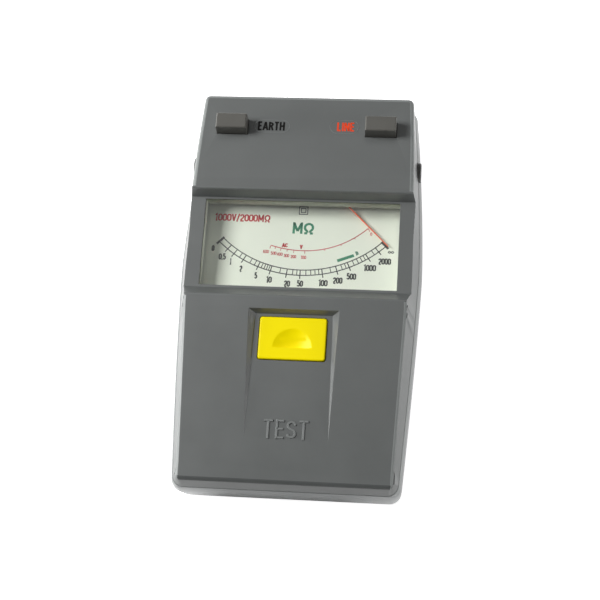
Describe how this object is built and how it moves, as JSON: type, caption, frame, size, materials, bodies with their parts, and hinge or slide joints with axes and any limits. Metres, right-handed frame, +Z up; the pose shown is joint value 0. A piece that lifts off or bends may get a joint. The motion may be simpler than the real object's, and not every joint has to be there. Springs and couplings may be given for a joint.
{
  "type": "insulation resistance tester",
  "caption": "Hand-held analogue insulation tester with a moving-needle meter window, a sprung push button, two lead sockets at the head and a sliding battery cover.",
  "frame": {"origin": "on the ground under the middle of the case", "axes": "+Y towards the head with the lead sockets, +X to the right as the dial is read, +Z up through the dial"},
  "size_m": [0.0998, 0.1684, 0.0462],
  "materials": {
    "abs_grey": "fine-textured dark grey moulded ABS",
    "clear_window": "clear polished acrylic",
    "black_plastic": "black moulded plastic",
    "dial_cream": "matt cream printed sheet",
    "steel": "plated steel",
    "magnet": "ground cast magnet",
    "copper": "varnished copper winding",
    "pointer_orange": "orange-red painted aluminium",
    "brass": "bright brass",
    "button_yellow": "yellow moulded plastic",
    "circuit_board": "green lacquered laminate",
    "transformer_tape": "yellow winding tape over a ferrite core",
    "component_plastic": "sleeved electronic component",
    "cell": "sleeved dry cell",
    "rubber": "black moulded rubber"
  },
  "bodies": {
    "case": {"upper_case": "abs_grey", "lower_case": "abs_grey", "window_lens": "clear_window", "dial_surround": "dial_cream", "dial_plate": "dial_cream", "meter_frame": "black_plastic", "yoke_ring": "steel", "magnet_core": "magnet", "hairspring": "brass", "top_bridge": "steel", "button_spring_left": "steel", "button_spring_right": "steel", "push_switch": "black_plastic", "switch_board": "circuit_board", "terminal_housing_earth": "abs_grey", "terminal_housing_line": "abs_grey", "socket_earth": "brass", "socket_line": "brass", "circuit_board": "circuit_board", "transformer": "transformer_tape", "capacitor_1": "component_plastic", "capacitor_2": "component_plastic", "film_capacitor": "component_plastic", "trimmer_1": "component_plastic", "trimmer_2": "component_plastic", "battery_1": "cell", "battery_2": "cell", "battery_3": "cell", "battery_4": "cell", "contact_spring_1": "steel", "contact_spring_2": "steel", "contact_spring_3": "steel", "contact_spring_4": "steel", "contact_near_left": "brass", "contact_near_right": "brass", "contact_far_left": "brass", "contact_far_middle": "brass", "contact_far_right": "brass", "case_screw_1": "steel", "case_screw_2": "steel", "case_screw_3": "steel", "case_screw_4": "steel", "foot_1": "rubber", "foot_2": "rubber", "foot_3": "rubber", "foot_4": "rubber", "strap_eyelet_left": "rubber", "strap_eyelet_right": "rubber"},
    "needle": {"pointer": "pointer_orange", "pointer_counterweight": "brass", "moving_coil": "copper"},
    "button": {"test_button": "button_yellow", "switch_plunger": "black_plastic"},
    "cover": {"battery_cover": "abs_grey"}
  },
  "joints": [
    {"name": "needle_swing", "type": "hinge", "parent": "case", "child": "needle", "pos_m": [0, 0.0568, 0.0252], "axis": [0, 0, 1], "range_deg": [-89, 0], "stiffness_Nm_per_rad": 0.0002, "springref_deg": 5.73},
    {"name": "button_press", "type": "slide", "parent": "case", "child": "button", "axis": [0, 0, -1], "range_m": [0, 0.0024], "stiffness_N_per_m": 600, "springref_m": -0.002, "deforming": ["button_spring_left", "button_spring_right"]},
    {"name": "cover_slide", "type": "slide", "parent": "case", "child": "cover", "axis": [0, -1, 0], "range_m": [0, 0.045]}
  ]
}
